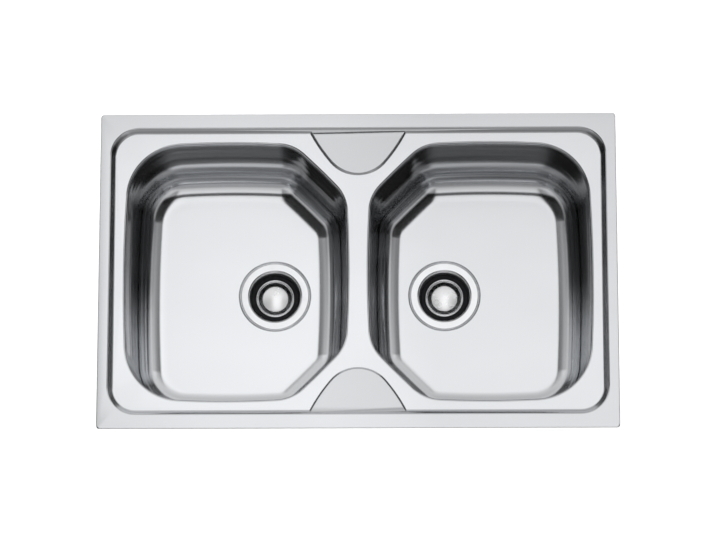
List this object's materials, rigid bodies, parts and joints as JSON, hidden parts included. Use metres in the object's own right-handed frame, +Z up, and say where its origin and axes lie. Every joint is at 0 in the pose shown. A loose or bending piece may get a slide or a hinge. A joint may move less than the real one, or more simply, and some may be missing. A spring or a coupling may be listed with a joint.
{
  "type": "double-bowl top-mount kitchen sink",
  "caption": "Top-mount stainless steel kitchen sink with two mirrored bowls, blank tap ledges front and back, basket strainer wastes and worktop clips.",
  "frame": {"origin": "middle of the cut-out, on the worktop's top face", "axes": "+X to the right along the sink's length, +Y to the back, +Z up"},
  "size_m": [0.8, 0.5, 0.269],
  "materials": {
    "sink_steel": "fine satin, brushed lengthwise",
    "strainer_steel": "fine satin, turned",
    "knob_steel": "polished",
    "zinc_steel": "bright zinc",
    "foam": "matt closed-cell foam",
    "gasket_rubber": "matt",
    "bitumen": "matt, slightly grained",
    "white_plastic": "matt moulded polypropylene",
    "brass": "plain turned",
    "grey_plastic": "matt moulded acetal"
  },
  "bodies": {
    "sink": {"deck": "sink_steel", "left_bowl": "sink_steel", "right_bowl": "sink_steel", "rim_seal": "foam", "back_clip_rail": "zinc_steel", "front_clip_rail": "zinc_steel", "left_clip_rail": "zinc_steel", "right_clip_rail": "zinc_steel", "clip_brackets": "zinc_steel", "left_sound_pad": "bitumen", "right_sound_pad": "bitumen", "earth_tag": "zinc_steel", "left_strainer_cup": "strainer_steel", "left_flange_gasket": "gasket_rubber", "left_under_gasket": "gasket_rubber", "left_waste_body": "white_plastic", "left_screw_insert": "brass", "left_clamp_screw": "zinc_steel", "right_strainer_cup": "strainer_steel", "right_flange_gasket": "gasket_rubber", "right_under_gasket": "gasket_rubber", "right_waste_body": "white_plastic", "right_screw_insert": "brass", "right_clamp_screw": "zinc_steel"},
    "back_left_screw": {"back_left_clip_screw": "zinc_steel"},
    "back_left_claw": {"back_left_clip_claw": "zinc_steel"},
    "back_middle_screw": {"back_middle_clip_screw": "zinc_steel"},
    "back_middle_claw": {"back_middle_clip_claw": "zinc_steel"},
    "back_right_screw": {"back_right_clip_screw": "zinc_steel"},
    "back_right_claw": {"back_right_clip_claw": "zinc_steel"},
    "front_left_screw": {"front_left_clip_screw": "zinc_steel"},
    "front_left_claw": {"front_left_clip_claw": "zinc_steel"},
    "front_middle_screw": {"front_middle_clip_screw": "zinc_steel"},
    "front_middle_claw": {"front_middle_clip_claw": "zinc_steel"},
    "front_right_screw": {"front_right_clip_screw": "zinc_steel"},
    "front_right_claw": {"front_right_clip_claw": "zinc_steel"},
    "left_screw": {"left_clip_screw": "zinc_steel"},
    "left_claw": {"left_clip_claw": "zinc_steel"},
    "right_screw": {"right_clip_screw": "zinc_steel"},
    "right_claw": {"right_clip_claw": "zinc_steel"},
    "left_basket": {"left_basket": "strainer_steel", "left_basket_seal": "gasket_rubber", "left_knob": "knob_steel", "left_stem": "zinc_steel", "left_detent_ring": "grey_plastic"},
    "right_basket": {"right_basket": "strainer_steel", "right_basket_seal": "gasket_rubber", "right_knob": "knob_steel", "right_stem": "zinc_steel", "right_detent_ring": "grey_plastic"}
  },
  "joints": [
    {"name": "back_left_clip_turn", "type": "hinge", "parent": "sink", "child": "back_left_screw", "pos_m": [-0.24, 0.222, -0.04], "axis": [0, 0, 1], "range_deg": [0, 90]},
    {"name": "back_left_clip_reach", "type": "slide", "parent": "back_left_screw", "child": "back_left_claw", "axis": [0, 0, 1], "range_m": [-0.004, 0.01]},
    {"name": "back_middle_clip_turn", "type": "hinge", "parent": "sink", "child": "back_middle_screw", "pos_m": [0, 0.222, -0.04], "axis": [0, 0, 1], "range_deg": [0, 90]},
    {"name": "back_middle_clip_reach", "type": "slide", "parent": "back_middle_screw", "child": "back_middle_claw", "axis": [0, 0, 1], "range_m": [-0.004, 0.01]},
    {"name": "back_right_clip_turn", "type": "hinge", "parent": "sink", "child": "back_right_screw", "pos_m": [0.24, 0.222, -0.04], "axis": [0, 0, 1], "range_deg": [0, 90]},
    {"name": "back_right_clip_reach", "type": "slide", "parent": "back_right_screw", "child": "back_right_claw", "axis": [0, 0, 1], "range_m": [-0.004, 0.01]},
    {"name": "front_left_clip_turn", "type": "hinge", "parent": "sink", "child": "front_left_screw", "pos_m": [-0.24, -0.222, -0.04], "axis": [0, 0, 1], "range_deg": [0, 90]},
    {"name": "front_left_clip_reach", "type": "slide", "parent": "front_left_screw", "child": "front_left_claw", "axis": [0, 0, 1], "range_m": [-0.004, 0.01]},
    {"name": "front_middle_clip_turn", "type": "hinge", "parent": "sink", "child": "front_middle_screw", "pos_m": [0, -0.222, -0.04], "axis": [0, 0, 1], "range_deg": [0, 90]},
    {"name": "front_middle_clip_reach", "type": "slide", "parent": "front_middle_screw", "child": "front_middle_claw", "axis": [0, 0, 1], "range_m": [-0.004, 0.01]},
    {"name": "front_right_clip_turn", "type": "hinge", "parent": "sink", "child": "front_right_screw", "pos_m": [0.24, -0.222, -0.04], "axis": [0, 0, 1], "range_deg": [0, 90]},
    {"name": "front_right_clip_reach", "type": "slide", "parent": "front_right_screw", "child": "front_right_claw", "axis": [0, 0, 1], "range_m": [-0.004, 0.01]},
    {"name": "left_clip_turn", "type": "hinge", "parent": "sink", "child": "left_screw", "pos_m": [-0.372, 0, -0.04], "axis": [0, 0, 1], "range_deg": [0, 90]},
    {"name": "left_clip_reach", "type": "slide", "parent": "left_screw", "child": "left_claw", "axis": [0, 0, 1], "range_m": [-0.004, 0.01]},
    {"name": "right_clip_turn", "type": "hinge", "parent": "sink", "child": "right_screw", "pos_m": [0.372, 0, -0.04], "axis": [0, 0, 1], "range_deg": [0, 90]},
    {"name": "right_clip_reach", "type": "slide", "parent": "right_screw", "child": "right_claw", "axis": [0, 0, 1], "range_m": [-0.004, 0.01]},
    {"name": "left_basket_lift", "type": "slide", "parent": "sink", "child": "left_basket", "axis": [0, 0, 1], "range_m": [0, 0.24]},
    {"name": "right_basket_lift", "type": "slide", "parent": "sink", "child": "right_basket", "axis": [0, 0, 1], "range_m": [0, 0.24]}
  ]
}
